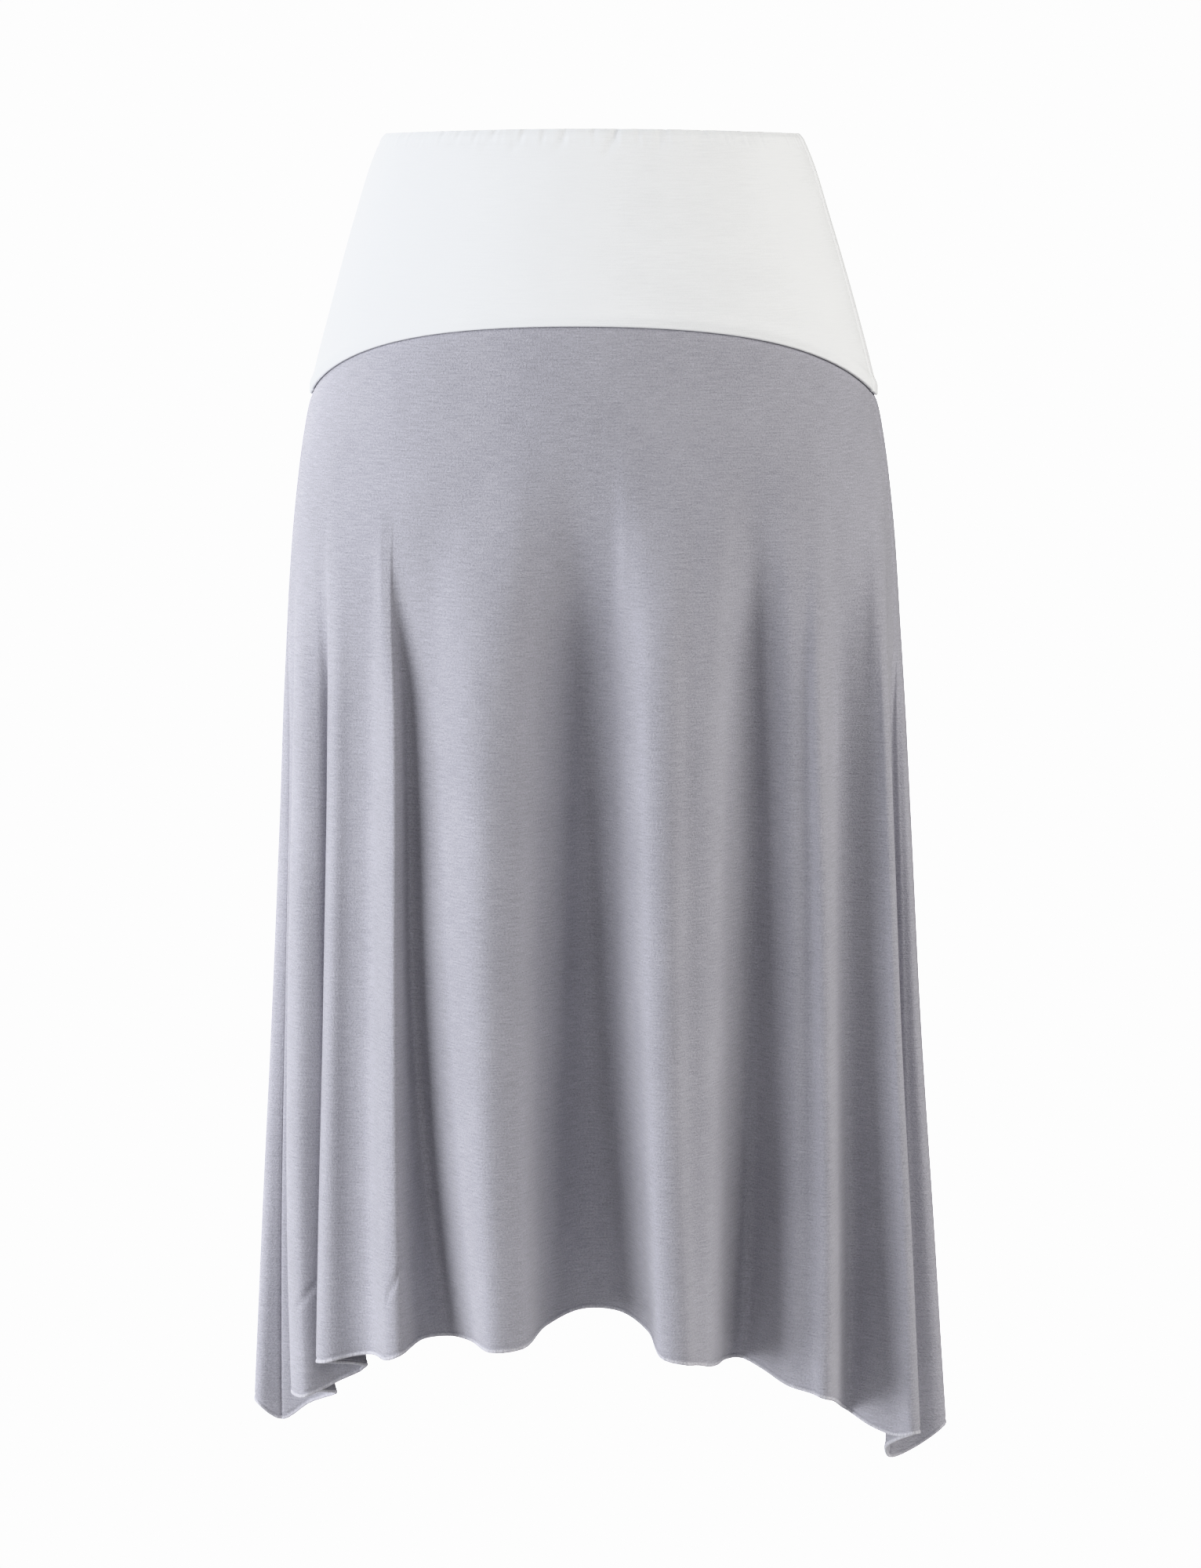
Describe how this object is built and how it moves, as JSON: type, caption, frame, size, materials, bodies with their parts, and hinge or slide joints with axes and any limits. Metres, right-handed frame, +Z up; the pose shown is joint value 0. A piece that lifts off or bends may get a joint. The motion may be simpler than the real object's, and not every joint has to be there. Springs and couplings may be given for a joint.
{
  "type": "high-low skirt",
  "caption": "Flared high-low skirt with a wide doubled waistband, deep soft folds and a hem that falls to a point at each side, held open as if worn.",
  "frame": {"origin": "middle of the waist at the height of the waistband's folded top edge, where a body holds the skirt up", "axes": "+Z up, -Y towards the front of the skirt, +X towards the right of the picture"},
  "size_m": [0.4022, 0.3231, 0.7554],
  "materials": {
    "band_jersey": "soft white doubled jersey",
    "skirt_jersey": "brushed lavender-grey jersey with a fine melange"
  },
  "bodies": {
    "root": {"waistband_front": "band_jersey", "waistband_back": "band_jersey", "skirt_front": "skirt_jersey", "skirt_back": "skirt_jersey"}
  },
  "joints": []
}
